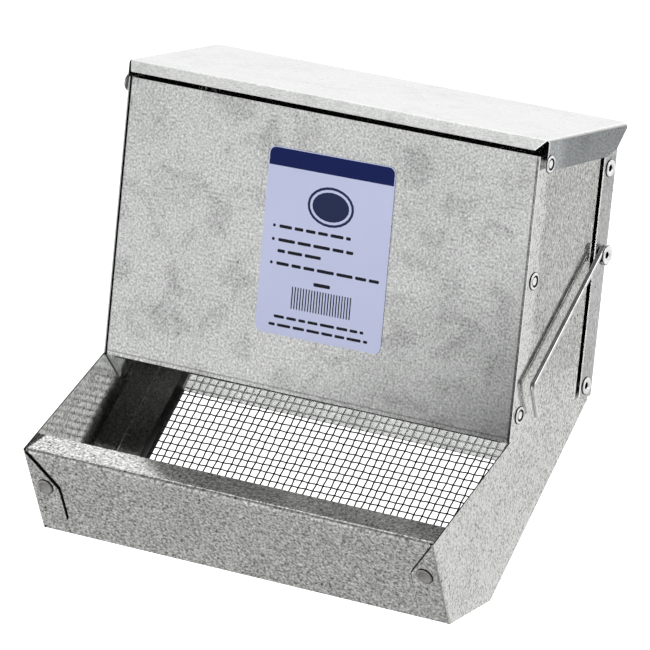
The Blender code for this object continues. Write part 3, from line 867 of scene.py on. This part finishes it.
def camera():
    """A long lens from the front right, a little above the feeder and slightly rolled."""
    data = bpy.data.cameras.new("camera")
    data.lens = LENS_MM
    data.sensor_width = SENSOR_MM
    data.clip_start, data.clip_end = 0.1, 200.0
    obj = bpy.data.objects.new("camera", data)
    bpy.context.scene.collection.objects.link(obj)
    yaw, pitch, roll = (math.radians(a) for a in CAMERA_TURN)
    turn = Matrix.Rotation(yaw, 4, "Z") @ Matrix.Rotation(math.pi / 2 - pitch, 4, "X")
    turn = turn @ Matrix.Rotation(roll, 4, "Z")
    obj.matrix_world = Matrix.Translation(CAMERA_PLACE) @ turn
    bpy.context.scene.camera = obj


# ---------------------------------------------------------------- the feeder

# Raw-edge colours, chosen by the way each edge faces: near black is painted shade, pale and grey
# are painted highlight and half-light. The near black also paints the rivets' shadows.
painted_shade_edge = plain_metal("painted_shade_edge", 0.02, 0.45, (400, 400, 400), tint=(0.97, 1.0, 1.0))
painted_half_shade_edge = plain_metal("painted_half_shade_edge", 0.60, 0.50, (400, 400, 400), metal=0.1)
painted_highlight_edge = plain_metal("painted_highlight_edge", 0.95, 0.50, (400, 400, 400), metal=0.1)
# A near-black zinc for painted shadow, as under the hopper front's hem.
painted_shadow_zinc = plain_metal("painted_shadow_zinc", 0.06, 0.40, (400, 400, 400))

# Painted shade and light in the zinc's colour: the hopper front darkens downwards and in a
# painted shadow along its hem's line, the side walls and the lid's ears darken to the back, and
# a side wall has a painted highlight by its front fold. The screen's wires are painted paler
# where the slope sheet lies behind them.
HEM_PAINTED_SHADOW = [(UP, -0.0106, -0.0103), (-UP, 0.0097, 0.0100)]
FRONT_PAINTED_SHADE = ((0.0, [((0.55, 0.0, -0.83), -0.015, 0.10)]), (0.6, HEM_PAINTED_SHADOW))
# Side walls: painted shade to the back and a painted highlight by the front fold.
SIDE_PAINTED_SHADE_AND_HIGHLIGHT = (
    (0.78, [(BACK, 0.005, 0.010), (UP, 0.0, 0.02)]),
    (1.14, [(-BACK, -0.010, -0.004), (UP, -0.015, -0.005)]),
)
# Lid ears: painted shade to the back.
EAR_PAINTED_SHADE = ((0.66, [(BACK, 0.009, 0.018)]),)
# Screen wires and edging: painted light where the slope sheet lies behind them.
OVER_SLOPE_PAINTED_LIGHT = ((12.0, [(SLOPE_ALONG, 0.003, 0.005)]),)

# Each sheet's zinc has its own tone, from 0.47 to 0.86, set to how bright it looks in this light:
# painted light and shade.
zinc_sheet(
    "hopper_front",
    "feeder",
    galvanised(
        "zinc_front", 0.68, (0.3, 0.1, 0.2), grain_scale=(500, 500, 400), grain=0.16, fine=0.8,
        clouds=0.24, specks=0.3, rough=0.20, painted_shading=FRONT_PAINTED_SHADE,
    ),
    painted_highlight_edge,
    # Painted shadow on the hem's underside.
    facing=[(HEM_UNDER, painted_shadow_zinc)],
)
zinc_sheet(
    "hopper_back",
    "feeder",
    galvanised("zinc_back", 0.68, (1.3, 0.4, 0.7), grain=0.5, fine=0.4, rough=0.16),
    painted_shade_edge,
    front_edge=painted_highlight_edge,
    facing=[(SLOPE_UP, chalky("zinc_slope", (0.2, 0.5, 0.9)))],
)
zinc_trough = galvanised(
    "zinc_trough", 0.57, (1.9, 1.2, 3.0), grain_scale=(850, 1000, 1000), grain=1.3, fine=1.0,
    clouds=0.10, specks=0.4, rough=0.15, tint=(1.0, 1.0, 0.97),
)
sides = (("left", (2.1, 0.9, 0.4), GAP_SHADOW_LEFT), ("right", (0.7, 2.2, 1.1), GAP_SHADOW_RIGHT))
for word, offset, gap_shadow in sides:
    zinc_sheet(
        "side_panel_" + word,
        "feeder",
        galvanised(
            "zinc_side_" + word, 0.86, offset, grain_scale=(1300, 1300, 700), grain=0.9,
            fine=0.8, clouds=0.14, specks=0.4, rough=0.10, tint=(1.0, 0.995, 0.965),
            painted_shading=SIDE_PAINTED_SHADE_AND_HIGHLIGHT,
        ),
        painted_shade_edge,
        front_edge=painted_highlight_edge if word == "right" else painted_half_shade_edge,
        # The tabs take the trough's darker zinc, as painted shade for the way they face.
        facing=[(FACE_OUT, zinc_trough)],
        gap_shadow=FACE_OUT * gap_shadow,
    )
zinc_sheet("trough_front", "feeder", zinc_trough, painted_shade_edge)
# The lid is one sheet: its top, brow and ears take zinc of their own tones by the way they face,
# as painted light and shade.
zinc_lid = galvanised(
    "zinc_lid", 0.47, (3.1, 0.2, 0.6), grain_scale=(500, 1500, 1500), grain=0.2, fine=0.15,
    clouds=0.10,
)
zinc_brow = galvanised(
    "zinc_brow", 0.80, (1.6, 0.4, 2.6), grain_scale=(500, 1500, 1500), grain=0.3, fine=0.3,
    clouds=0.12,
)
zinc_ear = galvanised(
    "zinc_ear", 0.58, (2.6, 0.8, 1.6), grain_scale=(1300, 600, 1300), grain=0.7,
    tint=(0.94, 0.99, 1.0), painted_shading=EAR_PAINTED_SHADE,
)
zinc_sheet(
    "lid",
    "lid",
    zinc_lid,
    # Painted highlight on the raw edges, and painted shade on the forward ones left of the middle.
    painted_highlight_edge,
    front_edge=painted_shade_edge,
    facing=[(RIGHT, zinc_ear), (-RIGHT, zinc_ear), (BROW_OUT, zinc_brow)],
    front_until=0.0,
)
zinc_sheet("card_holder", "feeder", galvanised("zinc_card", 0.62, (0.4, 3.3, 2.4)), painted_highlight_edge)

woven_screen(
    plain_metal("screen_wire", 0.07, 0.40, (900, 900, 900), metal=0.5, painted_shading=OVER_SLOPE_PAINTED_LIGHT),
    plain_metal("screen_edging", 0.20, 0.34, (1500, 300, 300), painted_shading=((2.0, OVER_SLOPE_PAINTED_LIGHT[0][1]),)),
)
rivet_zinc = plain_metal("rivet_zinc", 0.95, 0.12, (700, 700, 700), 0.3, metal=0.7)
rivet_dull = plain_metal("rivet_dull", 0.40, 0.20, (700, 700, 700), 0.3, (1.0, 0.97, 0.95))
for node_name in frame["nodes"]:
    if node_name.startswith("rivet_"):
        fine_rivet(node_name, rivet_dull if "tab" in node_name else rivet_zinc, painted_shade_edge)
hook_zinc = plain_metal("hook_zinc", 0.95, 0.06, (900, 260, 260), 0.2, metal=0.85)
hook_painted_shade = plain_metal("hook_painted_shade", 0.40, 0.20, (900, 260, 260), 0.2)
for word in ("left", "right"):
    fine_hook(word, hook_zinc, hook_painted_shade)
label_piece(
    vinyl("label_stock", (0.62, 0.66, 0.90)),
    vinyl("label_navy", (0.006, 0.014, 0.10)),
    vinyl("label_ink", (0.012, 0.013, 0.02)),
    vinyl("label_badge", (0.02, 0.03, 0.09)),
)

floor()
studio_world()
for lamp in LAMPS:
    softbox(*lamp)
camera()
bpy.context.scene.view_settings.view_transform = "Standard"

[[list(corner) for corner in box] for box in (cad_box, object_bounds())]
